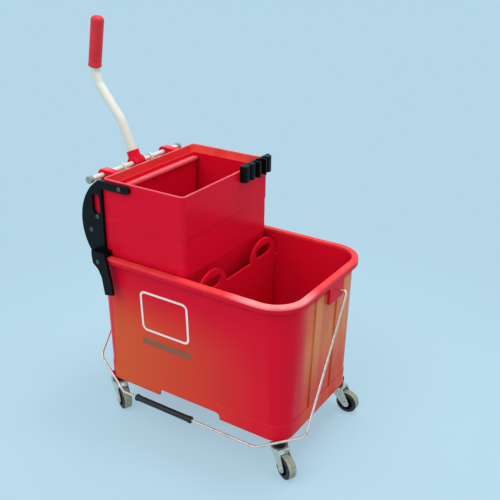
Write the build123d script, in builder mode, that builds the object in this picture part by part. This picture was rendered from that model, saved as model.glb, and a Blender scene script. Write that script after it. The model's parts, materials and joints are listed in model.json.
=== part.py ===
from build123d import *
import os
from math import cos, radians, sin

os.makedirs("parts", exist_ok=True)

# A mopping bucket on four swivel casters, with a side-press wringer hooked on its
# left end, a lift-out divider and a wire bail that lies folded in front.
# Frame: origin on the floor under the middle of the rim, +X along the bucket towards
# the open end, +Y towards the back, +Z up. Millimetres.

# ---------------------------------------------------------------- bucket shell
rim_length, rim_width, rim_radius = 504.0, 340.0, 71.0
rim_top = 390.0
lip_overhang = 11.0
lip_drop = 13.0
lip_skin = 3.0
lip_fillet = 2.5
wall = 3.0
foot_level = 78.0
floor_level = 100.0
base_length, base_width, base_radius = 466.0, 292.0, 38.0
plinth_proud, plinth_height = 2.0, 34.0
arch_length, arch_rise, arch_radius = 160.0, 15.0, 10.0
end_rib_y, end_rib_sheet, end_rib_proud = 46.0, 4.0, 3.0
end_rib_bottom, end_rib_top = 110.0, 376.0
ledge_start_x, ledge_length, ledge_edge_y = -190.0, 180.0, 134.0
ledge_top, ledge_edge, ledge_root = 249.7, 245.0, 215.0
guide_sheet, guide_play, guide_depth, guide_top = 3.0, 0.6, 9.0, 335.0
weld = 1.5
body_length = rim_length - 2 * lip_overhang
body_width = rim_width - 2 * lip_overhang
body_radius = rim_radius - lip_overhang

# ---------------------------------------------------------------- casters
stem_x, stem_y = 216.0, 130.0
wheel_radius, wheel_width = 25.0, 20.0
hub_radius = 17.0
tyre_shoulder = 3.5
trail = 28.0
fork_gap, fork_sheet = 23.0, 2.0
fork_top_width, fork_eye_radius = 34.0, 8.5
crown_level, crown_sheet, crown_radius = 58.0, 3.5, 18.0
stem_radius, axle_radius = 5.0, 3.0
rivet_radius, rivet_head = 5.0, 3.0
collar_radius, collar_height = 7.0, 2.0
hub_boss_radius, hub_dish = 6.5, 4.0
running_clearance = 0.05
bush_radius, bush_bottom, bush_top = 14.5, 62.0, 78.0
sleeve_radius, sleeve_top = 7.5, 98.0
caster_corners = {
    "front_right": (1, -1, -27.0),
    "front_left": (-1, -1, -27.0),
    "rear_right": (1, 1, 0.0),
    "rear_left": (-1, 1, 12.0),
}

# ---------------------------------------------------------------- bail
bail_wire_radius = 2.75
bail_y, bail_z = 38.0, 353.0
bail_hook_x, bail_reach = 242.0, 262.0
bail_knee_x, bail_left_knee_x, bail_knee_y = 272.0, 268.0, -131.0
bail_corner_x, bail_corner_y = 175.0, -163.0
bail_rail_z = 60.0
bail_play = 3.0
bail_bends = (6.0, 22.0, 16.0, 16.0, 22.0, 6.0)
bail_pocket_x, bail_pocket_depth = 238.0, 30.0
bail_slope = (bail_z - bail_rail_z) / (bail_y - bail_corner_y)
grip_sleeve_radius, grip_sleeve_length, grip_sleeve_x = 7.8, 152.0, -58.0
boss_y, boss_width, boss_bottom, boss_face = 22.0, 60.0, 338.0, 251.0

# ---------------------------------------------------------------- divider
divider_x, divider_thickness = 28.0, 4.0
divider_valley, divider_crown = 348.0, 391.0
divider_play, divider_foot = 1.2, 100.5
loop_y, loop_half_width = 97.0, 50.0
finger_hole_z, finger_hole_length, finger_hole_height = 363.0, 60.0, 24.0

# ---------------------------------------------------------------- wringer
wringer_x = -98.0
hopper_length, hopper_width = 204.0, 304.0
hopper_top, hopper_step, hopper_waist = 557.0, 468.0, 390.0
hopper_radius, inner_radius, step_inset = 10.0, 6.0, 1.0
tub_bottom = 250.0
tub_length, tub_width, tub_radius = 177.0, 276.0, 30.0
band_skin, tub_skin, tub_foot_skin = 3.0, 8.0, 5.0
band_depth = 17.0
left_wall = wringer_x - hopper_length / 2
right_wall = wringer_x + hopper_length / 2
grate_level, grate_sheet, grate_ledge = 254.0, 4.0, 8.0
grate_pitch_x, grate_pitch_y, grate_slot_length, grate_slot_width = 38.0, 24.0, 30.0, 9.0
cheek_skin = 5.0
cheek_bottom, cheek_top, cheek_root = 396.0, 532.0, -180.0
cheek_head, cheek_bulge, cheek_foot = -224.0, (-255.0, 466.0), -231.0
lug_plate, lug_plate_z, lug_plate_height = 6.0, 530.0, 46.0
clip_bottom, clip_height, clip_base = 533.0, 35.0, 5.0
clip_start_y, clip_end_y = 41.0, 150.0
clip_fingers_y = (50.0, 72.0, 136.0)
finger_width, finger_reach, finger_radius = 18.0, 16.0, 7.0
handle_y, handle_offset, handle_radius, jaw_skin, jaw_reach = 102.0, 13.0, 11.5, 3.0, 20.0

# ---------------------------------------------------------------- lever and press
shaft_x, shaft_z = -241.0, 544.0
shaft_radius, shaft_half_length = 5.5, 147.5
cap_radius, cap_length, cap_end = 8.0, 9.0, 2.5
lug_y, lug_width, lug_radius = 100.0, 16.0, 13.0
crank_y, crank_width = 45.0, 6.0
crank_length, crank_angle = 95.0, 17.0
crank_hub_radius, crank_eye_radius = 9.0, 5.5
slot_y, slot_width, slot_bottom, slot_top = 42.0, 24.0, 424.0, 531.0
slot_radius = 5.0
follower_radius, follower_width, follower_pin_radius = 8.0, 6.0, 3.0
follower_play, pin_end = 0.2, 1.5
follower_y = crank_y - crank_width / 2 - follower_width / 2 - follower_play
lever_swing = 42.0
press_ratio = 0.46
track_gap, ear_rim = 8.7, 4.5
ear_foot, ear_head = 440.0, 505.0
hinge_x, hinge_z, hinge_pin_radius = -170.0, 275.0, 4.0
hinge_boss_radius, hinge_pin_inset = 8.0, 2.0
lever_tube_radius, lever_tube_skin = 10.5, 1.5
lever_points = ((shaft_x, shaft_z), (-279.0, 633.0), (-337.0, 704.0), (-347.0, 733.0), (-328.0, 841.0))
lever_bends = (70.0, 34.0, 34.0)
socket_depth, socket_reach, socket_skin = 12.0, 27.0, 3.5
socket_hub_radius, socket_half_length = 14.0, 15.0
grip_radius, grip_length, grip_end = 15.0, 108.0, 6.0


def level(height, x=0.0, y=0.0):
    """A horizontal plane at a height."""
    return Plane(origin=(x, y, height))


def front_plane(y):
    """A plane facing the front, with X to the right and Z up, at depth y."""
    return Plane(origin=(0, y, 0), x_dir=(1, 0, 0), z_dir=(0, -1, 0))


def end_plane(x):
    """A plane facing the right end, with Y to the right and Z up, at length x."""
    return Plane(origin=(x, 0, 0), x_dir=(0, 1, 0), z_dir=(1, 0, 0))


def tapered(height, at_base, at_rim):
    """A half size of the bucket's wall at a height, which grows from foot to rim."""
    return at_base + (at_rim - at_base) * (height - foot_level) / (rim_top - foot_level)


def half_width(height):
    return tapered(height, base_width / 2, body_width / 2)


def half_length(height):
    return tapered(height, base_length / 2, body_length / 2)


def save(piece, name):
    piece.part.label = name
    export_step(piece.part, f"parts/{name}.step")


# ================================================================ bucket shell
with BuildPart() as bucket_shell:
    with BuildSketch(level(foot_level)):
        RectangleRounded(base_length, base_width, base_radius)
    with BuildSketch(level(rim_top)):
        RectangleRounded(body_length, body_width, body_radius)
    loft()
    with BuildSketch(level(foot_level)):
        RectangleRounded(base_length + 2 * plinth_proud, base_width + 2 * plinth_proud,
                         base_radius + plinth_proud)
    extrude(amount=plinth_height)
    # The lip is a flange turned down round the rim, hollow underneath.
    with BuildSketch(level(rim_top - lip_drop)):
        RectangleRounded(rim_length, rim_width, rim_radius)
    extrude(amount=lip_drop)
    rim_edge = bucket_shell.edges().group_by(Axis.Z)[-1]
    fillet(rim_edge, radius=lip_fillet)
    with BuildSketch(level(rim_top - lip_drop)):
        RectangleRounded(rim_length - 2 * lip_skin, rim_width - 2 * lip_skin, rim_radius - lip_skin)
        RectangleRounded(body_length, body_width, body_radius, mode=Mode.SUBTRACT)
    extrude(amount=lip_drop - lip_skin, mode=Mode.SUBTRACT)
    # Stiffening ribs stand on both end walls.
    for side_x in (1, -1):
        rib_foot, rib_head = half_length(end_rib_bottom), half_length(end_rib_top)
        for rib_y in (-end_rib_y, end_rib_y):
            with BuildSketch(front_plane(rib_y)):
                with BuildLine():
                    Polyline((side_x * (rib_foot - weld), end_rib_bottom),
                             (side_x * (rib_foot + end_rib_proud), end_rib_bottom),
                             (side_x * (rib_head + end_rib_proud), end_rib_top),
                             (side_x * (rib_head - weld), end_rib_top), close=True)
                make_face()
            extrude(amount=end_rib_sheet / 2, both=True)
        # A boss under the lip takes the bail's hooked end.
        with BuildSketch(end_plane(side_x * (half_length(bail_z) - wall))):
            with Locations((boss_y, (boss_bottom + rim_top - lip_drop) / 2)):
                Rectangle(boss_width, rim_top - lip_drop - boss_bottom)
        extrude(amount=side_x * (boss_face - half_length(bail_z) + wall))
    # The water space, down to the floor.
    with BuildSketch(level(floor_level)):
        RectangleRounded(2 * half_length(floor_level) - 2 * wall, 2 * half_width(floor_level) - 2 * wall,
                         base_radius - wall)
    with BuildSketch(level(rim_top)):
        RectangleRounded(body_length - 2 * wall, body_width - 2 * wall, body_radius - wall)
    loft(mode=Mode.SUBTRACT)
    # The foot is a hollow skirt that holds the caster sockets, arched at front and back.
    with BuildSketch(level(foot_level)):
        RectangleRounded(base_length - 2 * wall, base_width - 2 * wall, base_radius - wall)
        with Locations((stem_x, stem_y), (-stem_x, stem_y), (stem_x, -stem_y), (-stem_x, -stem_y)):
            Circle(bush_radius, mode=Mode.SUBTRACT)
    extrude(amount=floor_level - foot_level - wall - 1, mode=Mode.SUBTRACT)
    with BuildSketch(front_plane(0)):
        with Locations((0, foot_level)):
            RectangleRounded(arch_length, 2 * arch_rise, arch_radius)
    extrude(amount=base_width, both=True, mode=Mode.SUBTRACT)
    for side_x, side_y, _ in caster_corners.values():
        with BuildSketch(level(foot_level, side_x * stem_x, side_y * stem_y)):
            Circle(sleeve_radius)
        extrude(amount=sleeve_top - foot_level + 1, mode=Mode.SUBTRACT)
    # Ledges inside the long walls carry the wringer, and ribs guide the divider.
    for side_y in (1, -1):
        with BuildSketch(end_plane(ledge_start_x)):
            with BuildLine():
                Polyline((side_y * (half_width(ledge_top) - weld), ledge_top),
                         (side_y * ledge_edge_y, ledge_top), (side_y * ledge_edge_y, ledge_edge),
                         (side_y * (half_width(ledge_root) - weld), ledge_root), close=True)
            make_face()
        extrude(amount=ledge_length)
        guide_foot, guide_head = floor_level - weld, guide_top + guide_depth / 2
        beside = divider_thickness / 2 + guide_play
        for guide_x in (divider_x - beside - guide_sheet, divider_x + beside):
            with BuildSketch(end_plane(guide_x)):
                with BuildLine():
                    Polyline((side_y * (half_width(guide_foot) - weld), guide_foot),
                             (side_y * (half_width(guide_foot) - guide_depth), guide_foot),
                             (side_y * (half_width(guide_top) - guide_depth), guide_top),
                             (side_y * (half_width(guide_head) - weld), guide_head), close=True)
                make_face()
            extrude(amount=guide_sheet)
    # Blind holes in the end bosses take the hooked ends of the bail.
    for side_x in (1, -1):
        with BuildSketch(end_plane(side_x * bail_pocket_x)):
            with Locations((bail_y, bail_z)):
                Circle(bail_wire_radius + running_clearance)
        extrude(amount=side_x * bail_pocket_depth, mode=Mode.SUBTRACT)
save(bucket_shell, "bucket_shell")

# ================================================================ caster sockets
with BuildPart() as caster_bushes:
    for side_x, side_y, _ in caster_corners.values():
        with BuildSketch(level(bush_bottom, side_x * stem_x, side_y * stem_y)):
            Circle(bush_radius - 1.5)
        with BuildSketch(level(bush_top, side_x * stem_x, side_y * stem_y)):
            Circle(bush_radius)
        loft()
        with BuildSketch(level(bush_top, side_x * stem_x, side_y * stem_y)):
            Circle(sleeve_radius)
        extrude(amount=sleeve_top - bush_top)
        with BuildSketch(level(bush_bottom, side_x * stem_x, side_y * stem_y)):
            Circle(stem_radius + running_clearance)
        extrude(amount=sleeve_top - bush_bottom, mode=Mode.SUBTRACT)
save(caster_bushes, "caster_bushes")

# ================================================================ casters
for corner, (side_x, side_y, swivel) in caster_corners.items():
    stem_at = Vector(side_x * stem_x, side_y * stem_y, 0)
    ahead = Vector(cos(radians(swivel)), sin(radians(swivel)), 0)
    across = Vector(ahead.Y, -ahead.X, 0)
    side = Plane(origin=stem_at, x_dir=ahead, z_dir=across)
    with BuildPart() as fork:
        with BuildSketch(side):
            with Locations((trail, wheel_radius)):
                Circle(fork_eye_radius)
            with Locations((0, crown_level + crown_sheet / 2)):
                Rectangle(fork_top_width, crown_sheet)
            make_hull()
        extrude(amount=fork_gap / 2 + fork_sheet, both=True)
        with BuildSketch(side):
            with Locations((trail / 2, crown_level / 2)):
                Rectangle(100, crown_level)
        extrude(amount=fork_gap / 2, both=True, mode=Mode.SUBTRACT)
        with BuildSketch(level(crown_level, stem_at.X, stem_at.Y)):
            Circle(crown_radius)
        extrude(amount=crown_sheet)
        with BuildSketch(side):
            with Locations((trail, wheel_radius)):
                Circle(axle_radius)
        extrude(amount=fork_gap, both=True, mode=Mode.SUBTRACT)
        with BuildSketch(level(crown_level, stem_at.X, stem_at.Y)):
            Circle(stem_radius)
        extrude(amount=crown_sheet, mode=Mode.SUBTRACT)
    save(fork, f"caster_fork_{corner}")

    with BuildPart() as stem:
        with BuildSketch(side):
            with BuildLine():
                Polyline((0, crown_level - collar_height), (collar_radius, crown_level - collar_height),
                         (collar_radius, crown_level), (stem_radius, crown_level),
                         (stem_radius, sleeve_top - 1), (0, sleeve_top - 1), close=True)
            make_face()
        revolve(axis=Axis(stem_at, (0, 0, 1)))
    save(stem, f"caster_stem_{corner}")

    wheel_at = stem_at + ahead * trail + Vector(0, 0, wheel_radius)
    wheel_axis = Axis(wheel_at, across)
    section = Plane(origin=wheel_at, x_dir=across, z_dir=ahead)
    with BuildPart() as axle:
        with BuildSketch(section):
            with BuildLine():
                neck = fork_gap / 2 + fork_sheet
                head = neck + rivet_head
                Polyline((-head, 0), (-head, rivet_radius), (-neck, rivet_radius),
                         (-neck, axle_radius), (neck, axle_radius), (neck, rivet_radius),
                         (head, rivet_radius), (head, 0), close=True)
            make_face()
        revolve(axis=wheel_axis)
    save(axle, f"wheel_axle_{corner}")

    with BuildPart() as hub:
        with BuildSketch(section):
            with BuildLine():
                bore = axle_radius + running_clearance
                half = wheel_width / 2
                web = half - hub_dish
                Polyline((-half - 1, bore), (-half - 1, hub_boss_radius), (-web, hub_radius - 3),
                         (-half, hub_radius), (half, hub_radius), (web, hub_radius - 3),
                         (half + 1, hub_boss_radius), (half + 1, bore), close=True)
            make_face()
        revolve(axis=wheel_axis)
    save(hub, f"wheel_hub_{corner}")

    with BuildPart() as tyre:
        with BuildSketch(section):
            with BuildLine():
                half = wheel_width / 2
                tread = half - tyre_shoulder
                Polyline((half, hub_radius), (half, wheel_radius - tyre_shoulder), (tread, wheel_radius),
                         (-tread, wheel_radius), (-half, wheel_radius - tyre_shoulder), (-half, hub_radius),
                         close=True)
            make_face()
        revolve(axis=wheel_axis)
    save(tyre, f"tyre_{corner}")

# ================================================================ bail
def bail_height(y):
    """The bail is bent from wire in one plane through its pivots."""
    return bail_z + bail_slope * (y - bail_y)


right_half = [
    (bail_hook_x, bail_y, bail_z),
    (bail_reach, bail_y, bail_z),
    (bail_knee_x, bail_knee_y, bail_height(bail_knee_y)),
    (bail_corner_x, bail_corner_y, bail_height(bail_corner_y)),
]
left_half = [(-x, y, z) for x, y, z in reversed(right_half)]
left_half[1] = (-bail_left_knee_x, bail_knee_y, bail_height(bail_knee_y))
bail_route = [(x + bail_play, y, z) for x, y, z in right_half + left_half]
with BuildPart() as bail_wire:
    with BuildLine() as bail_path:
        FilletPolyline(*bail_route, radius=list(bail_bends))
    with BuildSketch(end_plane(bail_hook_x + bail_play)):
        with Locations((bail_y, bail_z)):
            Circle(bail_wire_radius)
    sweep(path=bail_path.wires()[0])
save(bail_wire, "bail_wire")

with BuildPart() as bail_grip:
    with BuildSketch(end_plane(grip_sleeve_x)):
        with Locations((bail_corner_y, bail_rail_z)):
            Circle(grip_sleeve_radius)
            Circle(bail_wire_radius + running_clearance, mode=Mode.SUBTRACT)
    extrude(amount=grip_sleeve_length / 2, both=True)
    fillet(bail_grip.edges().filter_by(GeomType.CIRCLE).group_by(SortBy.RADIUS)[-1], radius=2)
save(bail_grip, "bail_grip")

# ================================================================ divider
with BuildPart() as divider_panel:
    panel_foot = half_width(floor_level) - wall - divider_play
    panel_head = half_width(divider_valley) - wall - divider_play
    with BuildSketch(end_plane(divider_x)):
        with BuildLine():
            Polyline((panel_foot, divider_foot), (panel_head, divider_valley),
                     (-panel_head, divider_valley), (-panel_foot, divider_foot), close=True)
        make_face()
        with Locations((loop_y, divider_valley), (-loop_y, divider_valley)):
            Ellipse(loop_half_width, divider_crown - divider_valley)
    extrude(amount=divider_thickness / 2, both=True)
    with BuildSketch(end_plane(divider_x)):
        with Locations((loop_y, finger_hole_z), (-loop_y, finger_hole_z)):
            SlotOverall(finger_hole_length, finger_hole_height)
    extrude(amount=divider_thickness, both=True, mode=Mode.SUBTRACT)
save(divider_panel, "divider_panel")

# ================================================================ wringer box
def tub_half_width(height):
    """Half the wringer's width over its walls, which taper only below the rim."""
    waist = hopper_width / 2 - step_inset
    narrowing = max(0.0, hopper_waist - height) / (hopper_waist - tub_bottom)
    return waist - (waist - tub_width / 2) * narrowing


with BuildPart() as wringer_box:
    with BuildSketch(level(tub_bottom, wringer_x)):
        RectangleRounded(tub_length, tub_width, tub_radius)
    with BuildSketch(level(hopper_waist, wringer_x)):
        RectangleRounded(hopper_length - 2 * step_inset, hopper_width - 2 * step_inset, hopper_radius)
    loft()
    with BuildSketch(level(hopper_waist, wringer_x)):
        RectangleRounded(hopper_length - 2 * step_inset, hopper_width - 2 * step_inset, hopper_radius)
    extrude(amount=hopper_step - hopper_waist)
    with BuildSketch(level(hopper_step, wringer_x)):
        RectangleRounded(hopper_length, hopper_width, hopper_radius)
    extrude(amount=hopper_top - hopper_step)
    # Cheeks stand out past the left wall, behind the black brackets.
    for side_y in (1, -1):
        with BuildSketch(front_plane(side_y * (hopper_width / 2 - cheek_skin / 2))):
            with BuildLine():
                Line((cheek_root, cheek_bottom), (cheek_root, cheek_top))
                Line((cheek_root, cheek_top), (cheek_head, cheek_top))
                ThreePointArc((cheek_head, cheek_top), cheek_bulge, (cheek_foot, cheek_bottom))
                Line((cheek_foot, cheek_bottom), (cheek_root, cheek_bottom))
            make_face()
        extrude(amount=cheek_skin / 2, both=True)
        # Hooked lugs carry the cross shaft outside the left wall.
        with BuildSketch(front_plane(side_y * lug_y)):
            with Locations((shaft_x, shaft_z)):
                Circle(lug_radius)
            with Locations((left_wall - lug_plate / 2 + 1, lug_plate_z)):
                Rectangle(lug_plate, lug_plate_height)
            make_hull()
        extrude(amount=lug_width / 2, both=True)
    # The open inside has a thin band at the top and a thicker wall below it.
    inner_length, inner_width = hopper_length - 2 * tub_skin, hopper_width - 2 * tub_skin
    foot_length, foot_width = tub_length - 2 * tub_foot_skin, tub_width - 2 * tub_foot_skin
    with BuildSketch(level(hopper_top - band_depth, wringer_x)):
        RectangleRounded(hopper_length - 2 * band_skin, hopper_width - 2 * band_skin,
                         hopper_radius - band_skin)
    extrude(amount=band_depth, mode=Mode.SUBTRACT)
    with BuildSketch(level(hopper_waist, wringer_x)):
        RectangleRounded(inner_length, inner_width, inner_radius)
    extrude(amount=hopper_top - band_depth - hopper_waist, mode=Mode.SUBTRACT)
    with BuildSketch(level(grate_level, wringer_x)):
        RectangleRounded(foot_length, foot_width, tub_radius - tub_foot_skin)
    with BuildSketch(level(hopper_waist, wringer_x)):
        RectangleRounded(inner_length, inner_width, inner_radius)
    loft(mode=Mode.SUBTRACT)
    with BuildSketch(level(tub_bottom, wringer_x)):
        RectangleRounded(foot_length - 2 * grate_ledge, foot_width - 2 * grate_ledge,
                         tub_radius - tub_foot_skin - grate_ledge)
    extrude(amount=grate_level - tub_bottom, mode=Mode.SUBTRACT)
    # Slots in the left wall let the cranks swing in, and the shaft runs in the lugs.
    with BuildSketch(end_plane(left_wall - 1)):
        with Locations((slot_y, (slot_bottom + slot_top) / 2), (-slot_y, (slot_bottom + slot_top) / 2)):
            RectangleRounded(slot_width, slot_top - slot_bottom, slot_radius)
    extrude(amount=tub_skin + 2, mode=Mode.SUBTRACT)
    with BuildSketch(front_plane(0)):
        with Locations((shaft_x, shaft_z)):
            Circle(shaft_radius + running_clearance)
    extrude(amount=lug_y + lug_width, both=True, mode=Mode.SUBTRACT)
    with BuildSketch(front_plane(0)):
        with Locations((hinge_x, hinge_z)):
            Circle(hinge_pin_radius)
    extrude(amount=tub_half_width(hinge_z) - hinge_pin_inset, both=True, mode=Mode.SUBTRACT)
save(wringer_box, "wringer_box")

with BuildPart() as drain_grate:
    with BuildSketch(level(grate_level, wringer_x)):
        RectangleRounded(foot_length - 1, foot_width - 1, tub_radius - tub_foot_skin - 0.5)
        with GridLocations(grate_pitch_x, grate_pitch_y, 4, 10):
            Rectangle(grate_slot_length, grate_slot_width, mode=Mode.SUBTRACT)
    extrude(amount=grate_sheet)
save(drain_grate, "drain_grate")

# ================================================================ brackets
bracket_skin, saddle_height, saddle_length = 8.0, 12.0, 34.0
window_at, window_length, window_width = (-216.0, 500.0), 46.0, 20.0
screw_radius, screw_proud = 5.0, 2.0
bracket_inner = hopper_width / 2
bracket_outer = rim_width / 2 + 8.0
leg_skin, rim_play = 6.8, 0.3
saddle_top = rim_top + rim_play + saddle_height
bracket_screw_places = ((-233, 441), (-213, 474), (-150, 545))
leg_screw_x, leg_screw_z = -205.0, 380.0
for side_y, place in ((-1, "front"), (1, "rear")):
    with BuildPart() as bracket:
        # A bowed plate with a window, and an arm along the wringer's top band.
        with BuildSketch(front_plane(side_y * (bracket_inner + bracket_skin / 2))):
            with BuildLine():
                Line((-200, 393), (-200, 537))
                Line((-200, 537), (-134, 537))
                ThreePointArc((-134, 537), (-126, 545), (-134, 553))
                Line((-134, 553), (-208, 553))
                Line((-208, 553), (-226, 538))
                ThreePointArc((-226, 538), (-258, 466), (-236, 388))
                Polyline((-236, 388), (-222, 393), (-200, 393))
            make_face()
            with Locations(window_at):
                SlotOverall(window_length, window_width, rotation=90, mode=Mode.SUBTRACT)
        extrude(amount=bracket_skin / 2, both=True)
        # The saddle sits on the rim and the leg reaches down outside the lip.
        saddle_y = side_y * (bracket_inner + bracket_outer) / 2
        with BuildSketch(level(rim_top + rim_play, leg_screw_x, saddle_y)):
            Rectangle(saddle_length, bracket_outer - bracket_inner)
        extrude(amount=saddle_height)
        with BuildSketch(front_plane(side_y * (bracket_outer - leg_skin / 2))):
            with BuildLine():
                Polyline((-222, saddle_top), (-222, rim_top), (-220, 374), (-206, 362), (-198, 345),
                         (-192, 306), (-170, 310), (-175, 345), (-182, 380), (-188, saddle_top),
                         close=True)
            make_face()
        extrude(amount=leg_skin / 2, both=True)
    save(bracket, f"bracket_{place}")

with BuildPart() as bracket_screws:
    for side_y in (-1, 1):
        with BuildSketch(front_plane(side_y * (bracket_inner + bracket_skin))):
            with Locations(*bracket_screw_places):
                Circle(screw_radius)
        extrude(amount=-side_y * screw_proud)
        with BuildSketch(front_plane(side_y * bracket_outer)):
            with Locations((leg_screw_x, leg_screw_z)):
                Circle(screw_radius)
        extrude(amount=-side_y * screw_proud)
save(bracket_screws, "bracket_screws")

# ================================================================ mop handle clip
with BuildPart() as mop_clip:
    with BuildSketch(level(clip_bottom)):
        with Locations((right_wall + clip_base / 2, (clip_start_y + clip_end_y) / 2)):
            Rectangle(clip_base, clip_end_y - clip_start_y)
        for finger_y in clip_fingers_y:
            with Locations((right_wall + finger_reach / 2, finger_y)):
                RectangleRounded(finger_reach, finger_width, finger_radius)
        with Locations((right_wall + handle_offset, handle_y)):
            Circle(handle_radius + jaw_skin)
            Circle(handle_radius, mode=Mode.SUBTRACT)
        for cut_x in (right_wall - jaw_reach, right_wall + 2 * jaw_reach):
            with Locations((cut_x, handle_y)):
                Rectangle(2 * jaw_reach, 4 * handle_radius, mode=Mode.SUBTRACT)
    extrude(amount=clip_height)
save(mop_clip, "mop_clip")

# ================================================================ lever
with BuildPart() as cross_shaft:
    with BuildSketch(front_plane(0)):
        with Locations((shaft_x, shaft_z)):
            Circle(shaft_radius)
    extrude(amount=shaft_half_length, both=True)
save(cross_shaft, "cross_shaft")

lever_foot = Vector(lever_points[0][0], 0, lever_points[0][1])
lever_heading = (Vector(lever_points[1][0], 0, lever_points[1][1]) - lever_foot).normalized()
with BuildPart() as lever_socket:
    with BuildSketch(front_plane(0)):
        with Locations((shaft_x, shaft_z)):
            Circle(socket_hub_radius)
    extrude(amount=socket_half_length, both=True)
    with BuildSketch(Plane(origin=lever_foot, z_dir=lever_heading)):
        Circle(lever_tube_radius + socket_skin)
    extrude(amount=socket_reach)
    with BuildSketch(Plane(origin=lever_foot + lever_heading * socket_depth, z_dir=lever_heading)):
        Circle(lever_tube_radius)
    extrude(amount=socket_reach, mode=Mode.SUBTRACT)
    with BuildSketch(front_plane(0)):
        with Locations((shaft_x, shaft_z)):
            Circle(shaft_radius)
    extrude(amount=socket_half_length, both=True, mode=Mode.SUBTRACT)
save(lever_socket, "lever_socket")

lever_start = lever_foot + lever_heading * socket_depth
lever_route = [lever_start] + [Vector(x, 0, z) for x, z in lever_points[1:]]
with BuildPart() as lever_tube:
    with BuildLine() as lever_path:
        FilletPolyline(*lever_route, radius=list(lever_bends))
    with BuildSketch(Plane(origin=lever_start, z_dir=lever_heading)):
        Circle(lever_tube_radius)
        Circle(lever_tube_radius - lever_tube_skin, mode=Mode.SUBTRACT)
    sweep(path=lever_path.wires()[0])
save(lever_tube, "lever_tube")

grip_top = Vector(lever_points[-1][0], 0, lever_points[-1][1])
grip_bottom = Vector(lever_points[-2][0], 0, lever_points[-2][1])
grip_up = (grip_top - grip_bottom).normalized()
grip_plane = Plane(origin=grip_top + grip_up * grip_end, x_dir=(0, 1, 0), z_dir=grip_up)
with BuildPart() as lever_grip:
    with BuildSketch(grip_plane):
        Circle(grip_radius)
    extrude(amount=-grip_length)
    fillet(lever_grip.edges().filter_by(GeomType.CIRCLE).sort_by(Axis.Z)[-1], radius=9)
    fillet(lever_grip.edges().filter_by(GeomType.CIRCLE).sort_by(Axis.Z)[0], radius=3)
    with BuildSketch(grip_plane.offset(-grip_end)):
        Circle(lever_tube_radius)
    extrude(amount=-grip_length, mode=Mode.SUBTRACT)
save(lever_grip, "lever_grip")

with BuildPart() as shaft_caps:
    for side_y in (1, -1):
        with BuildSketch(front_plane(side_y * (shaft_half_length + cap_end))):
            with Locations((shaft_x, shaft_z)):
                Circle(cap_radius)
        extrude(amount=side_y * cap_length)
        with BuildSketch(front_plane(side_y * shaft_half_length)):
            with Locations((shaft_x, shaft_z)):
                Circle(shaft_radius)
        extrude(amount=side_y * cap_length, mode=Mode.SUBTRACT)
save(shaft_caps, "shaft_caps")


def crank_tip(swing):
    """Centre of the crank's round follower, in X and Z, after the lever has swung by an angle."""
    angle = radians(crank_angle + swing)
    return shaft_x + crank_length * sin(angle), shaft_z - crank_length * cos(angle)


tip_x, tip_z = crank_tip(0)
with BuildPart() as crank_arms:
    for side_y in (1, -1):
        with BuildSketch(front_plane(side_y * crank_y)):
            with Locations((shaft_x, shaft_z)):
                Circle(crank_hub_radius)
            with Locations((tip_x, tip_z)):
                Circle(crank_eye_radius)
            make_hull()
            with Locations((shaft_x, shaft_z)):
                Circle(shaft_radius, mode=Mode.SUBTRACT)
            with Locations((tip_x, tip_z)):
                Circle(follower_pin_radius, mode=Mode.SUBTRACT)
        extrude(amount=crank_width / 2, both=True)
save(crank_arms, "crank_arms")

with BuildPart() as crank_followers:
    for side_y in (1, -1):
        with BuildSketch(front_plane(side_y * follower_y)):
            with Locations((tip_x, tip_z)):
                Circle(follower_radius)
                Circle(follower_pin_radius, mode=Mode.SUBTRACT)
        extrude(amount=follower_width / 2, both=True)
save(crank_followers, "crank_followers")

with BuildPart() as crank_pins:
    for side_y in (1, -1):
        with BuildSketch(front_plane(side_y * (crank_y + crank_width / 2 + pin_end))):
            with Locations((tip_x, tip_z)):
                Circle(follower_pin_radius)
        extrude(amount=side_y * (crank_width + follower_width + follower_play + 2 * pin_end))
save(crank_pins, "crank_pins")

# ================================================================ press plate
def follower_on_plate(swing):
    """Where the follower's centre lies on the plate, turned back to the plate's rest."""
    x, z = crank_tip(swing)
    turn = radians(press_ratio * swing)
    arm_x, arm_z = x - hinge_x, z - hinge_z
    return hinge_x + arm_x * cos(turn) - arm_z * sin(turn), hinge_z + arm_z * cos(turn) + arm_x * sin(turn)


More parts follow.
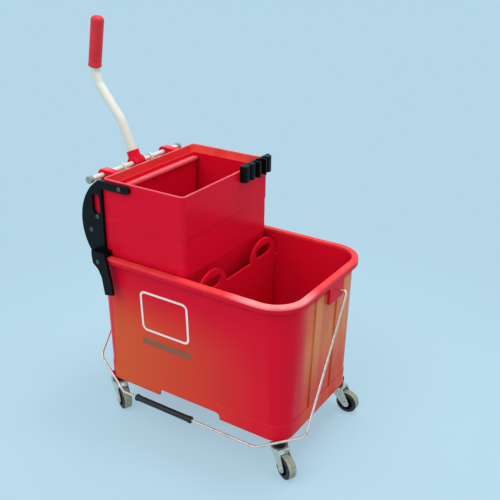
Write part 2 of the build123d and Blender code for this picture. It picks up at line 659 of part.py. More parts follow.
track = [follower_on_plate(lever_swing * step / 4) for step in range(5)]
track_curve = Wire([ThreePointArc(*track[:3]), ThreePointArc(*track[2:])])
plate_back, plate_face, flange_face = -191.0, -183.0, -178.0
plate_foot_back, plate_foot_face = -180.0, -172.0
plate_top, plate_waist, plate_foot = 532.0, 392.0, 268.0
flange_depth = 6.0
plate_top_half, plate_foot_half = 139.5, 112.0
with BuildPart() as press_plate:
    # The plate leans on the left wall, bent where that wall bends, with a flange along its top.
    with BuildSketch(front_plane(0)):
        with BuildLine():
            Polyline((plate_foot_back, plate_foot), (plate_back, plate_waist), (plate_back, plate_top),
                     (flange_face, plate_top), (flange_face, plate_top - flange_depth),
                     (plate_face, plate_top - flange_depth), (plate_face, plate_waist),
                     (plate_foot_face, plate_foot), close=True)
        make_face()
    extrude(amount=plate_top_half, both=True)
    with BuildSketch(end_plane(plate_back)):
        with BuildLine():
            Polyline((plate_foot_half, plate_foot), (plate_top_half, plate_waist),
                     (plate_top_half, plate_top), (-plate_top_half, plate_top),
                     (-plate_top_half, plate_waist), (-plate_foot_half, plate_foot), close=True)
        make_face()
    extrude(amount=flange_face - plate_back + hinge_boss_radius, mode=Mode.INTERSECT)
    with BuildSketch(front_plane(0)):
        with Locations((hinge_x, hinge_z)):
            Circle(hinge_boss_radius)
    extrude(amount=plate_foot_half, both=True)
    with BuildSketch(front_plane(0)):
        with Locations((hinge_x, hinge_z)):
            Circle(hinge_pin_radius + running_clearance)
    extrude(amount=plate_top_half, both=True, mode=Mode.SUBTRACT)
    # Ears on the back hold the curved slots that the crank followers run in.
    for side_y in (1, -1):
        with BuildSketch(front_plane(side_y * follower_y)):
            with BuildLine():
                Polyline((plate_back + 1, ear_foot), (plate_back + 1, ear_head),
                         track[4], track[2], track[0], close=True)
            make_face()
            SlotArc(track_curve, 2 * (track_gap + ear_rim))
            SlotArc(track_curve, 2 * track_gap, mode=Mode.SUBTRACT)
        extrude(amount=follower_width / 2, both=True)
save(press_plate, "press_plate")

with BuildPart() as plate_pin:
    with BuildSketch(front_plane(0)):
        with Locations((hinge_x, hinge_z)):
            Circle(hinge_pin_radius)
    extrude(amount=tub_half_width(hinge_z) - hinge_pin_inset, both=True)
save(plate_pin, "plate_pin")
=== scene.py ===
import json
import math

import bmesh
import bpy
import numpy as np
from mathutils import Matrix, Vector


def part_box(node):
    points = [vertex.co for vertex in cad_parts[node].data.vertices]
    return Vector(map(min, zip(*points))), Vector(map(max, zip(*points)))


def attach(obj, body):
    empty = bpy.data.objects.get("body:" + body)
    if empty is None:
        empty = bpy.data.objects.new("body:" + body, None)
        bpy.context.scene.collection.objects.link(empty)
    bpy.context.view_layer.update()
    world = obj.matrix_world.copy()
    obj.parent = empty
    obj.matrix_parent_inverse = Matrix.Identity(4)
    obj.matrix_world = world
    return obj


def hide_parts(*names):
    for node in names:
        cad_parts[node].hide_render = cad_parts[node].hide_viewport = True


bl_info = {
    "name": "Mop Bucket With Wringer",
    "version": (1, 0, 0),
    "blender": (4, 5, 0),
    "location": "View3D > Sidebar > Mop Bucket",
    "description": "Dresses the mop bucket in moulded plastic, zinc plate, paint and rubber",
    "category": "Add Mesh",
}

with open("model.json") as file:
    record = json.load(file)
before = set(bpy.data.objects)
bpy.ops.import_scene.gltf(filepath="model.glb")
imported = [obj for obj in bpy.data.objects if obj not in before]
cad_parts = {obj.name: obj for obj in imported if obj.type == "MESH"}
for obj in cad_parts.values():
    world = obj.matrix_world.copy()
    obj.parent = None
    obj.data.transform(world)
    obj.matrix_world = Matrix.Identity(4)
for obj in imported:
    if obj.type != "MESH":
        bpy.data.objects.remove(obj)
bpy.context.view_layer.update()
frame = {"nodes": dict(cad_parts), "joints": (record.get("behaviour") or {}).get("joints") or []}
JOINTS = {joint["name"]: joint for joint in frame["joints"]}
CORNERS = ("front_right", "front_left", "rear_right", "rear_left")
MM = 0.001
WELD = 0.01 * MM  # corners closer than this are one corner
NEAR = 0.1 * MM  # slack where edges and faces are chosen by their place


def linear(colour):
    """An sRGB hex colour as linear red, green and blue."""
    shares = [int(colour[place:place + 2], 16) / 255 for place in (1, 3, 5)]
    return tuple(s / 12.92 if s <= 0.04045 else ((s + 0.055) / 1.055) ** 2.4 for s in shares)


# -------- sizes and colours
def colour_property(name, description, default):
    """A colour that can be changed. Its default is an sRGB hex colour."""
    return bpy.props.FloatVectorProperty(
        name=name, description=description, subtype="COLOR", size=3, min=0, max=1,
        default=linear(default))


def length_property(name, description, default, least, most):
    """A length that can be changed. Its default and its limits are in millimetres."""
    return bpy.props.FloatProperty(
        name=name, description=description, unit="LENGTH",
        default=default * MM, min=least * MM, max=most * MM)


class BucketFinishes(bpy.types.PropertyGroup):
    """Colours of the moulded, painted and plated parts."""

    red: colour_property(
        "Bucket red", "Pigment of the bucket, wringer and divider", "#D20F2B")
    # Paler red: wear on edges and scuffs; partly wear and partly a painted highlight on the
    # bucket's rim; a painted reflection in the wringer's inner band.
    worn_and_sheen_red: colour_property(
        "Rubbed red", "Paler red where an edge or a rim is rubbed", "#EE6052")
    # Painted reflection of the pale floor: orange low on the long walls and on the end walls.
    bloom_and_floor_sheen: colour_property(
        "Water bloom", "Chalky orange that splashed water leaves on the walls", "#CC5A30")
    # Painted warm reflection in streaks on the end walls.
    painted_tan_sheen: colour_property(
        "Faded end", "Sun-bleached tan of the end walls", "#D98C56")
    # Painted highlight on the rims, palest at the bucket's near corner, and on the wringer's brim
    # and the press plate's flange.
    highlight_pink: colour_property(
        "Whitened rim", "Pink of the rims where dragged mops have whitened them", "#F48C90")
    vinyl: colour_property(
        "Grip red", "Dipped vinyl of the lever's hand grip", "#CE2A33")
    black: colour_property(
        "Bracket black", "Nylon of the brackets, the clip and the caster sockets", "#020607")
    cream: colour_property(
        "Lever cream", "Powder coat on the lever tube and the cross shaft", "#D0D1C6")
    # The zinc's pink tint is a painted reflection of the red walls.
    zinc: colour_property(
        "Zinc", "Bright zinc plate on the bail and the pins", "#E6D2C8")
    tread: colour_property(
        "Tread grey", "Scuffed tread of the caster tyres", "#838A74")
    ink: colour_property(
        "Outline white", "Ink of the blank outline on the front wall", "#E9DAD8")


class WheelSizes(bpy.types.PropertyGroup):
    """Sizes of the caster wheels."""

    shoulder: length_property(
        "Tyre shoulder", "Radius of the rounded edge between tread and side", 4.0, 0.5, 6)
    seam: length_property(
        "Seam width", "Width of the mould seam round the tread", 1.4, 0.2, 4)
    ribs: bpy.props.IntProperty(
        name="Ribs", description="Stiffening ribs on each side of the wheel centre",
        default=8, min=3, max=20)
    dish: length_property(
        "Dish depth", "How far the wheel centre is sunk inside its rim", 4.5, 1, 8)
    rim: length_property(
        "Rim width", "Width of the raised rim round the dish", 2.2, 1, 5)


class GripSizes(bpy.types.PropertyGroup):
    """Sizes of the lever's grip and the bail's sleeve."""

    bead: length_property(
        "End bead", "Length of the thicker bead at an open end", 5, 1, 15)
    waist: bpy.props.FloatProperty(
        name="Waist", description="Share by which the sleeve is thinner than its bead",
        default=0.05, min=0, max=0.3, subtype="FACTOR")
    crown: length_property(
        "Crown radius", "Rounding of the grip's closed upper end", 9, 1, 13)
    lip: length_property(
        "Lip radius", "Rounding of the grip's open foot", 3, 0.5, 3)


class PanelSizes(bpy.types.PropertyGroup):
    """Sizes of the blank outline and strip on the front wall."""

    width: length_property("Outline width", "Width of the blank outline", 124, 20, 200)
    height: length_property("Outline height", "Height of the blank outline", 96, 20, 200)
    corner: length_property("Corner radius", "Rounding of the outline's corners", 14, 1, 40)
    stroke: length_property("Stroke", "Width of the printed line", 5, 1, 12)
    strip: length_property("Strip height", "Height of the plain strip", 16, 4, 40)
    film: length_property("Film", "Thickness of the ink and of the strip", 0.35, 0.1, 1)


class StageLight(bpy.types.PropertyGroup):
    """Strengths of the studio's light and the colour of its floor."""

    floor: colour_property(
        "Floor colour", "Colour of the floor and of what lies behind it", "#B5D7E8")
    sky: bpy.props.FloatProperty(
        name="Sky", description="Strength of the soft light from all round",
        default=1.0, min=0, max=4)
    key: bpy.props.FloatProperty(
        name="Key", description="Strength of the broad main lamp, in watts per square metre",
        default=0.8, min=0, max=20)
    overhead: bpy.props.FloatProperty(
        name="Overhead lamp", description="Power of the small soft box that shines on the rims",
        default=24.0, min=0, max=200, unit="POWER")


# -------- modelling helpers
def nothing_selected():
    """Editing starts with nothing selected, because the loaded solids come in selected."""
    if bpy.context.object and bpy.context.object.mode != "OBJECT":
        bpy.ops.object.mode_set(mode="OBJECT")
    bpy.ops.object.select_all(action="DESELECT")


def pick(*pieces):
    """Selects these pieces and no others. The first of them is the active one."""
    nothing_selected()
    for piece in pieces:
        piece.select_set(True)
    bpy.context.view_layer.objects.active = pieces[0]


def begin(name, primitive, **sizes):
    """A primitive, named and in edit mode, from which a piece is shaped."""
    nothing_selected()
    primitive(**sizes)
    piece = bpy.context.active_object
    piece.name = name
    piece.data.name = name
    bpy.ops.object.mode_set(mode="EDIT")
    return piece


def choose(piece, kind, passes):
    """Selects the edges or the faces of a piece in edit mode that pass a test."""
    bpy.ops.mesh.select_mode(type="FACE" if kind == "faces" else "EDGE")
    mesh = bmesh.from_edit_mesh(piece.data)
    for part in (*mesh.verts, *mesh.edges, *mesh.faces):
        part.select = False
    found = [part for part in getattr(mesh, kind) if passes(part)]
    for part in found:
        part.select_set(True)
    bmesh.update_edit_mesh(piece.data)
    if not found:
        raise RuntimeError(f"{piece.name}: no {kind} to shape")


def middle(edge):
    return (edge.verts[0].co + edge.verts[1].co) / 2


def reach(part):
    """Greatest distance of a face's or an edge's corners from the Z axis."""
    return max(corner.co.xy.length for corner in part.verts)


def shaped(piece, angle=35):
    """Ends the shaping: welds doubles, turns faces outwards and smooths all but the sharp edges."""
    bpy.ops.mesh.select_all(action="SELECT")
    bpy.ops.mesh.remove_doubles(threshold=WELD)
    bpy.ops.mesh.normals_make_consistent(inside=False)
    bpy.ops.object.mode_set(mode="OBJECT")
    bpy.ops.object.shade_smooth_by_angle(angle=math.radians(angle))
    return piece


def put(piece, matrix):
    """Places a piece and writes its place into its mesh."""
    pick(piece)
    piece.matrix_world = matrix
    bpy.ops.object.transform_apply(location=True, rotation=True, scale=True)


def copies(pattern, names, matrices):
    """Copies of a finished piece, each with its own mesh and place. The pattern itself goes."""
    made = []
    for name, matrix in zip(names, matrices, strict=True):
        pick(pattern)
        bpy.ops.object.duplicate(linked=False)
        copy = bpy.context.active_object
        copy.name = name
        copy.data.name = name
        put(copy, matrix)
        made.append(copy)
    pick(pattern)
    bpy.ops.object.delete()
    return made


def joined(pieces, name):
    """Several solids as one piece."""
    pick(*pieces)
    bpy.ops.object.join()
    pieces[0].name = name
    pieces[0].data.name = name
    return pieces[0]


def along(direction, at):
    """A place whose Z axis points along a direction."""
    turn = Vector(direction).to_track_quat("Z", "Y").to_matrix().to_4x4()
    return Matrix.Translation(at) @ turn


def dress(piece, *finishes):
    piece.data.materials.clear()
    for finish in finishes:
        piece.data.materials.append(finish)


def solids_of(node):
    """Boxes of the separate solids of a CAD node."""
    mesh = bmesh.new()
    mesh.from_mesh(frame["nodes"][node].data)
    bmesh.ops.remove_doubles(mesh, verts=mesh.verts, dist=WELD)
    waiting, boxes = set(mesh.verts), []
    while waiting:
        front = [waiting.pop()]
        group = list(front)
        while front:
            for edge in front.pop().link_edges:
                for corner in edge.verts:
                    if corner in waiting:
                        waiting.remove(corner)
                        front.append(corner)
                        group.append(corner)
        points = np.array([corner.co for corner in group])
        boxes.append((Vector(points.min(0)), Vector(points.max(0))))
    mesh.free()
    return sorted(boxes, key=lambda box: tuple(box[0]))


def leaning_round(node):
    """Foot, direction, radius and length of a round solid that leans in the XZ plane. Its axis
    joins the middles of its lower and upper half, found again for each new axis."""
    corners = [corner.co for corner in frame["nodes"][node].data.vertices]
    points = np.unique(np.array(corners).round(6), axis=0)
    axis = np.array((0.0, 0.0, 1.0))
    for _ in range(12):
        side = np.array((axis[2], 0.0, -axis[0]))
        heights, across = points @ axis, points @ side
        low_half = heights < (heights.min() + heights.max()) / 2
        ends = []
        for half in (low_half, ~low_half):
            left, right = across[half].argmin(), across[half].argmax()
            ends.append(((across[half][left] + across[half][right]) / 2,
                         (heights[half][left] + heights[half][right]) / 2))
        (foot_side, foot_height), (top_side, top_height) = ends
        axis = axis + side * (top_side - foot_side) / (top_height - foot_height)
        axis /= np.linalg.norm(axis)
    foot = axis * heights.min() + side * foot_side
    return Vector(foot), Vector(axis), np.ptp(points[:, 1]) / 2, np.ptp(heights)


def wheel_size():
    """Radius and width of a caster wheel. The radius is 0.01 mm short, to clear the floor."""
    low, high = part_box("tyre_rear_right")
    return (high.z - low.z) / 2 - 0.01 * MM, high.y - low.y


def wheel_places():
    """Where the four wheels go, each with Z along its axle."""
    places = []
    for corner in CORNERS:
        low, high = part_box(f"tyre_{corner}")
        places.append(along(JOINTS[f"roll_{corner}"]["axis"], (low + high) / 2))
    return places


# -------- materials
def per(size):
    """A texture's scale on Object coordinates, for features of a size in millimetres."""
    return 1000.0 / size


def add(tree, kind, sockets=None, **settings):
    """Adds a node with its settings. A socket gets a value, or a link from another node."""
    made = tree.nodes.new(kind)
    for name, value in settings.items():
        setattr(made, name, value)
    for name, value in (sockets or {}).items():
        socket = made.inputs[name] if isinstance(name, int) else next(
            s for s in made.inputs if s.name == name and s.enabled)
        if isinstance(value, bpy.types.Node):
            value = next(s for s in value.outputs if s.enabled)
        if isinstance(value, bpy.types.NodeSocket):
            tree.links.new(value, socket)
        else:
            socket.default_value = value
    return made


def blank_material(name):
    """A new material with its node tree emptied, and the piece's own coordinates."""
    made = bpy.data.materials.new(name)
    made.use_nodes = True
    tree = made.node_tree
    tree.nodes.clear()
    place = add(tree, "ShaderNodeTexCoord").outputs["Object"]
    return made, tree, place


def finished(made, sockets):
    """The material, with its shader and its output."""
    shader = add(made.node_tree, "ShaderNodeBsdfPrincipled", sockets)
    add(made.node_tree, "ShaderNodeOutputMaterial", {"Surface": shader})
    return made


def rgba(colour, share=1.0):
    return (*(min(1.0, c * share) for c in colour), 1.0)


def along_edges(tree, soft):
    """A mask that is 1 along the edges that a softened normal rounds."""
    own = add(tree, "ShaderNodeNewGeometry").outputs["Normal"]
    same = add(tree, "ShaderNodeVectorMath", {0: soft, 1: own}, operation="DOT_PRODUCT")
    return add(tree, "ShaderNodeMapRange", {
        "Value": same.outputs["Value"], "From Min": 0.995, "From Max": 0.80})


def wall_lean(direction):
    """How far out the bucket's wall stands at floor height, and how much further per metre up."""
    outward, shell = Vector(direction), frame["nodes"]["bucket_shell"]
    low, high = 0.16, 0.30
    at_low, at_high = (
        shell.ray_cast(outward + Vector((0, 0, height)), -outward)[1].dot(outward)
        for height in (low, high))
    slope = (at_high - at_low) / (high - low)
    return at_low - slope * low, slope


def outer_skin(tree, across, up, lean):
    """A mask that is 1 on the outer face of a leaning wall, and 0 inside it and on its tabs."""
    size = add(tree, "ShaderNodeMath", {0: across}, operation="ABSOLUTE")
    line = add(tree, "ShaderNodeMath", {0: up, 1: lean[1], 2: lean[0]}, operation="MULTIPLY_ADD")
    proud = add(tree, "ShaderNodeMath", {0: size, 1: line}, operation="SUBTRACT")
    # The inner face is more than 2.2 mm behind the outer one, and the tabs stand 5 mm proud.
    outside = add(tree, "ShaderNodeMapRange", {
        "Value": proud, "From Min": -2.2 * MM, "From Max": -0.5 * MM})
    near = add(tree, "ShaderNodeMapRange", {
        "Value": proud, "From Min": 5.0 * MM, "From Max": 3.8 * MM})
    return add(tree, "ShaderNodeMath", {0: outside, 1: near}, operation="MULTIPLY")


def top_band(tree, place, share, top, depth):
    """A mask for the uppermost band of a piece, broken into patches. It carries painted highlights
    and reflections, and on the bucket's rim also rubbing wear.
    """
    parts = add(tree, "ShaderNodeSeparateXYZ", {"Vector": place}).outputs
    band = add(tree, "ShaderNodeMapRange", {
        "Value": parts["Z"], "From Min": top - depth - 1.0 * MM,
        "From Max": top - depth + 1.0 * MM, "To Max": share})
    # The patches are 40 mm long.
    patchy_noise = add(tree, "ShaderNodeTexNoise", {"Vector": place, "Scale": per(40), "Detail": 3.0})
    uneven = add(tree, "ShaderNodeMapRange", {
        "Value": patchy_noise, "From Min": 0.35, "From Max": 0.60, "To Min": 0.6})
    return add(tree, "ShaderNodeMath", {0: band, 1: uneven}, operation="MULTIPLY")


def bucket_wear_and_painted_sheen(tree, place, base, chosen):
    """The bucket's colour: a painted reflection of the floor, orange low on its long walls; a
    painted warm reflection, streaky tan, on its ends; and a rim rubbed paler that also carries a
    painted highlight."""
    low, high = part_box("bucket_shell")
    parts = add(tree, "ShaderNodeSeparateXYZ", {"Vector": place}).outputs
    long_wall = outer_skin(tree, parts["Y"], parts["Z"], wall_lean((0, -1, 0)))
    end_wall = outer_skin(tree, parts["X"], parts["Z"], wall_lean((1, 0, 0)))
    # The painted reflection on the end wall is strongest at Y = 22 mm, towards its rear half, and
    # fades off its corners.
    breadth = add(tree, "ShaderNodeMath", {0: parts["Y"], 1: 22 * MM}, operation="SUBTRACT")
    breadth = add(tree, "ShaderNodeMath", {0: breadth}, operation="ABSOLUTE")
    # The painted reflection breaks into upright streaks some 25 mm wide.
    upright = add(tree, "ShaderNodeMapping", {"Vector": place, "Scale": (1.0, 1.0, 0.10)})
    streak = add(tree, "ShaderNodeTexNoise", {"Vector": upright, "Scale": per(25), "Detail": 3.0})
    # Each mask goes from one place to another, in metres (the streaks' own value for the last),
    # and from a share to another.
    masks = []
    for value, start, end, least, most, curve in (
            (parts["Z"], 0.35, 0.21, 0.0, 1.0, "SMOOTHSTEP"),
            (parts["X"], 0.17, -0.16, 0.05, 0.85, "LINEAR"),
            (parts["Z"], high.z - 26 * MM, high.z - 34 * MM, 0.0, 1.0, "LINEAR"),
            (breadth, 0.124, 0.074, 0.0, 1.0, "SMOOTHSTEP"),
            (parts["Z"], 0.13, 0.27, 0.0, 1.0, "SMOOTHSTEP"),
            (streak, 0.38, 0.62, 0.50, 0.90, "LINEAR")):
        masks.append(add(tree, "ShaderNodeMapRange", {
            "Value": value, "From Min": start, "From Max": end, "To Min": least, "To Max": most},
            interpolation_type=curve))
    near_foot, towards_lever, under_rim, off_corners, above_foot, streaky = masks
    # Painted reflections: the floor's orange low on the long walls, growing towards the lever end,
    # and warm tan over orange in streaks on the end wall.
    for mask, shares, colour in (
            (long_wall, (near_foot, towards_lever), chosen.bloom_and_floor_sheen),
            (end_wall, (streaky, under_rim, off_corners, 0.8), chosen.bloom_and_floor_sheen),
            (end_wall, (streaky, under_rim, off_corners, above_foot), chosen.painted_tan_sheen)):
        for share in shares:
            mask = add(tree, "ShaderNodeMath", {0: mask, 1: share}, operation="MULTIPLY")
        base = add(tree, "ShaderNodeMix", {
            "Factor": mask, "A": base, "B": rgba(colour)}, data_type="RGBA")
    # The rim's paler band is partly rubbing wear and partly a painted highlight.
    rim = top_band(tree, place, 0.35, high.z, 5 * MM)
    base = add(tree, "ShaderNodeMix", {
        "Factor": rim, "A": base, "B": rgba(chosen.worn_and_sheen_red)}, data_type="RGBA")
    # A painted highlight whitens the rim most at the near corner of the free end: up to 2.6 times
    # the share above, which is 0.9.
    corner = (high.x - 45 * MM, low.y + 25 * MM, high.z)
    away = add(tree, "ShaderNodeVectorMath", {0: place, 1: corner}, operation="DISTANCE")
    highlight_spot = add(tree, "ShaderNodeMapRange", {
        "Value": away.outputs["Value"], "From Min": 0.11, "From Max": 0.065,
        "To Min": 0.10, "To Max": 2.6}, interpolation_type="SMOOTHSTEP")
    mask = add(tree, "ShaderNodeMath", {0: rim, 1: highlight_spot}, operation="MULTIPLY")
    return add(tree, "ShaderNodeMix", {
        "Factor": mask, "A": base, "B": rgba(chosen.highlight_pink)}, data_type="RGBA")


def wringer_painted_sheen(tree, place, base, chosen):
    """The wringer's colour: a painted highlight on the brim, and a painted orange reflection in the
    band inside, most at the back.
    """
    low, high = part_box("wringer_box")
    parts = add(tree, "ShaderNodeSeparateXYZ", {"Vector": place}).outputs
    # The open top's half sizes (in X the box is longer, by its lugs) and its corners' radius.
    half_width = (high.y - low.y) / 2
    half_length = half_width * 0.671
    corner = 10 * MM
    past = []
    for axis, centre, limit in (
            ("Y", (high.y + low.y) / 2, half_width), ("X", high.x - half_length, half_length)):
        apart = parts[axis]
        for operation, other in (("SUBTRACT", centre), ("ABSOLUTE", 0.0),
                                 ("SUBTRACT", limit - corner), ("MAXIMUM", 0.0)):
            apart = add(tree, "ShaderNodeMath", {0: apart, 1: other}, operation=operation)
        past.append(apart)
    edge = add(tree, "ShaderNodeCombineXYZ", {"X": past[0], "Y": past[1]})
    edge = add(tree, "ShaderNodeVectorMath", {0: edge}, operation="LENGTH").outputs["Value"]
    inside = add(tree, "ShaderNodeMapRange", {
        "Value": edge, "From Min": corner - 1.0 * MM, "From Max": corner - 1.7 * MM})
    at_back = add(tree, "ShaderNodeMapRange", {
        "Value": parts["Y"], "From Min": high.y - 20 * MM, "From Max": high.y - 8 * MM,
        "To Min": 0.38})
    # The band's orange is a painted reflection.
    mask = top_band(tree, place, 0.85, high.z, 17 * MM)
    for share in (inside, at_back):
        mask = add(tree, "ShaderNodeMath", {0: mask, 1: share}, operation="MULTIPLY")
    base = add(tree, "ShaderNodeMix", {
        "Factor": mask, "A": base, "B": rgba(chosen.worn_and_sheen_red)}, data_type="RGBA")
    # The brim's pink is a painted highlight.
    brim = top_band(tree, place, 0.45, high.z, 1.5 * MM)
    return add(tree, "ShaderNodeMix", {
        "Factor": brim, "A": base, "B": rgba(chosen.highlight_pink)}, data_type="RGBA")


def flange_painted_highlight(tree, place, base, chosen):
    """The press plate's colour: a painted highlight along its top flange."""
    flange = top_band(tree, place, 0.55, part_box("press_plate")[1].z, 5 * MM)
    return add(tree, "ShaderNodeMix", {
        "Factor": flange, "A": base, "B": rgba(chosen.highlight_pink)}, data_type="RGBA")


def moulded_polypropylene(name, chosen, roughness=0.22, edge_radius=0.9 * MM, marks=None):
    """Polypropylene shot into a polished mould: deep even colour, a wet-looking gloss with
    a faint ripple where the wall cooled, and rubbed, paler edges with fine sideways scuffs."""
    made, tree, place = blank_material(name)
    soft = add(tree, "ShaderNodeBevel", {"Radius": edge_radius}, samples=6)
    # The dye lies in slow bands some 90 mm wide where the melt flowed.
    flow = add(tree, "ShaderNodeTexNoise", {"Vector": place, "Scale": per(90), "Detail": 3.0})
    dyed = add(tree, "ShaderNodeMix", {
        "Factor": flow, "A": rgba(chosen.red, 0.90), "B": rgba(chosen.red, 1.08)},
        data_type="RGBA")
    # The marks paint each piece's reflections and highlights, and wear on the bucket's rim.
    if marks:
        dyed = marks(tree, place, dyed, chosen)
    # Scuffs from knocks run level round the bucket. Real ones are 0.2 mm thin; these are
    # drawn 2 mm thick and 55 mm long so that they show.
    level = add(tree, "ShaderNodeMapping", {"Vector": place, "Scale": (1.0, 1.0, 28.0)})
    scratch = add(tree, "ShaderNodeTexNoise", {
        "Vector": level, "Scale": per(55), "Detail": 5.0, "Roughness": 0.7})
    patch = add(tree, "ShaderNodeTexNoise", {"Vector": place, "Scale": per(130), "Detail": 2.0})
    thin = add(tree, "ShaderNodeMapRange", {
        "Value": scratch, "From Min": 0.60, "From Max": 0.72, "To Max": 0.30})
    where = add(tree, "ShaderNodeMapRange", {
        "Value": patch, "From Min": 0.48, "From Max": 0.66})
    scuff = add(tree, "ShaderNodeMath", {0: thin, 1: where}, operation="MULTIPLY")
    rubbed = add(tree, "ShaderNodeMath", {0: along_edges(tree, soft), 1: 0.45},
                 operation="MULTIPLY")
    wear = add(tree, "ShaderNodeMath", {0: scuff, 1: rubbed}, operation="MAXIMUM")
    shown = add(tree, "ShaderNodeMix", {
        "Factor": wear, "A": dyed, "B": rgba(chosen.worn_and_sheen_red)}, data_type="RGBA")
    gloss = add(tree, "ShaderNodeMapRange", {
        "Value": wear, "From Max": 0.5, "To Min": roughness, "To Max": roughness + 0.18})
    # Ripple of the cooled skin, 14 mm from crest to crest.
    ripple = add(tree, "ShaderNodeTexNoise", {"Vector": place, "Scale": per(14), "Detail": 1.0})
    bump = add(tree, "ShaderNodeBump", {
        "Height": ripple, "Strength": 0.12, "Distance": 0.0004, "Normal": soft})
    return finished(made, {
        "IOR": 1.49, "Specular IOR Level": 0.06,
        "Base Color": shown, "Roughness": gloss, "Normal": bump})


def glass_filled_nylon(name, colour):
    """Glass-filled nylon from a fine-etched mould: near black, with a satin sheen and a grain
    that breaks up every highlight."""
    made, tree, place = blank_material(name)
    soft = add(tree, "ShaderNodeBevel", {"Radius": 0.8 * MM}, samples=6)
    # The etched grain is 0.3 mm; it is drawn at 1.2 mm so that it shows.
    grain = add(tree, "ShaderNodeTexNoise", {"Vector": place, "Scale": per(1.2), "Detail": 2.0})
    cloud = add(tree, "ShaderNodeTexNoise", {"Vector": place, "Scale": per(25), "Detail": 3.0})
    tone = add(tree, "ShaderNodeMix", {
        "Factor": cloud, "A": rgba(colour, 0.7), "B": rgba(colour, 1.6)}, data_type="RGBA")
    rub = add(tree, "ShaderNodeMath", {0: along_edges(tree, soft), 1: 0.35},
              operation="MULTIPLY")
    shown = add(tree, "ShaderNodeMix", {
        "Factor": rub, "A": tone, "B": rgba(linear("#2C3438"))}, data_type="RGBA")
    gloss = add(tree, "ShaderNodeMapRange", {
        "Value": cloud, "From Min": 0.3, "From Max": 0.7, "To Min": 0.30, "To Max": 0.46})
    bump = add(tree, "ShaderNodeBump", {
        "Height": grain, "Strength": 0.25, "Distance": 0.0002, "Normal": soft})
    return finished(made, {
        "IOR": 1.53, "Specular IOR Level": 0.13,
        "Base Color": shown, "Roughness": gloss, "Normal": bump})


def powder_coat(name, colour):
    """Polyester powder baked on steel: a smooth cream skin with orange peel, and grey where
    hands and the socket have rubbed it thin."""
    made, tree, place = blank_material(name)
    soft = add(tree, "ShaderNodeBevel", {"Radius": 0.5 * MM}, samples=6)
    # Orange peel has crests 2 mm apart.
    peel = add(tree, "ShaderNodeTexNoise", {"Vector": place, "Scale": per(2.0), "Detail": 1.0})
    patchy_noise = add(tree, "ShaderNodeTexNoise", {
        "Vector": place, "Scale": per(38), "Detail": 5.0, "Roughness": 0.65})
    grime = add(tree, "ShaderNodeMapRange", {
        "Value": patchy_noise, "From Min": 0.52, "From Max": 0.80, "To Max": 0.30})
    worn = add(tree, "ShaderNodeMath", {0: grime, 1: along_edges(tree, soft)},
               operation="MAXIMUM")
    shown = add(tree, "ShaderNodeMix", {
        "Factor": worn, "A": rgba(colour), "B": rgba(linear("#A9A698"))}, data_type="RGBA")
    bump = add(tree, "ShaderNodeBump", {
        "Height": peel, "Strength": 0.06, "Distance": 0.0001, "Normal": soft})
    return finished(made, {"IOR": 1.5, "Roughness": 0.32, "Base Color": shown, "Normal": bump})


def zinc_plate(name, colour, roughness=0.34, tarnish="#8C8277"):
    """Bright zinc electroplated on steel: a pale metal with a soft shine, a fine grit, and
    dull spots where the plate has gone milky."""
    made, tree, place = blank_material(name)
    soft = add(tree, "ShaderNodeBevel", {"Radius": 0.4 * MM}, samples=6)
    # Spots are 9 mm across.
    bloom_and_floor_sheen = add(tree, "ShaderNodeTexNoise", {
        "Vector": place, "Scale": per(9), "Detail": 6.0, "Roughness": 0.7})
    dull = add(tree, "ShaderNodeMapRange", {
        "Value": bloom_and_floor_sheen, "From Min": 0.50, "From Max": 0.75, "To Max": 0.7})
    shown = add(tree, "ShaderNodeMix", {
        "Factor": dull, "A": rgba(colour), "B": rgba(linear(tarnish))}, data_type="RGBA")
    gloss = add(tree, "ShaderNodeMapRange", {
        "Value": dull, "From Max": 0.7, "To Min": roughness, "To Max": roughness + 0.22})
    # The plate's grit is 0.1 mm; it is drawn at 1.5 mm so that it shows.
    grit = add(tree, "ShaderNodeTexNoise", {"Vector": place, "Scale": per(1.5), "Detail": 2.0})
    bump = add(tree, "ShaderNodeBump", {
        "Height": grit, "Strength": 0.15, "Distance": 0.0001, "Normal": soft})
    return finished(made, {
        "Metallic": 0.85, "Base Color": shown, "Roughness": gloss, "Normal": bump})


def rubber(name, colour, dirt, roughness=0.62):
    """Moulded rubber: matt, with dust pressed into it and tiny nicks."""
    made, tree, place = blank_material(name)
    soft = add(tree, "ShaderNodeBevel", {"Radius": 0.5 * MM}, samples=6)
    # Dust lies in smudges 6 mm across.
    smudge = add(tree, "ShaderNodeTexNoise", {
        "Vector": place, "Scale": per(6), "Detail": 5.0, "Roughness": 0.65})
    dusty = add(tree, "ShaderNodeMapRange", {
        "Value": smudge, "From Min": 0.40, "From Max": 0.68, "To Max": 0.8})
    shown = add(tree, "ShaderNodeMix", {
        "Factor": dusty, "A": rgba(colour), "B": rgba(dirt)}, data_type="RGBA")
    # Nicks are 2.2 mm across.
    nicks = add(tree, "ShaderNodeTexVoronoi", {"Vector": place, "Scale": per(2.2)})
    bump = add(tree, "ShaderNodeBump", {
        "Height": nicks.outputs["Distance"], "Strength": 0.22, "Distance": 0.0003,
        "Normal": soft})
    return finished(made, {
        "IOR": 1.52, "Roughness": roughness, "Base Color": shown, "Normal": bump})


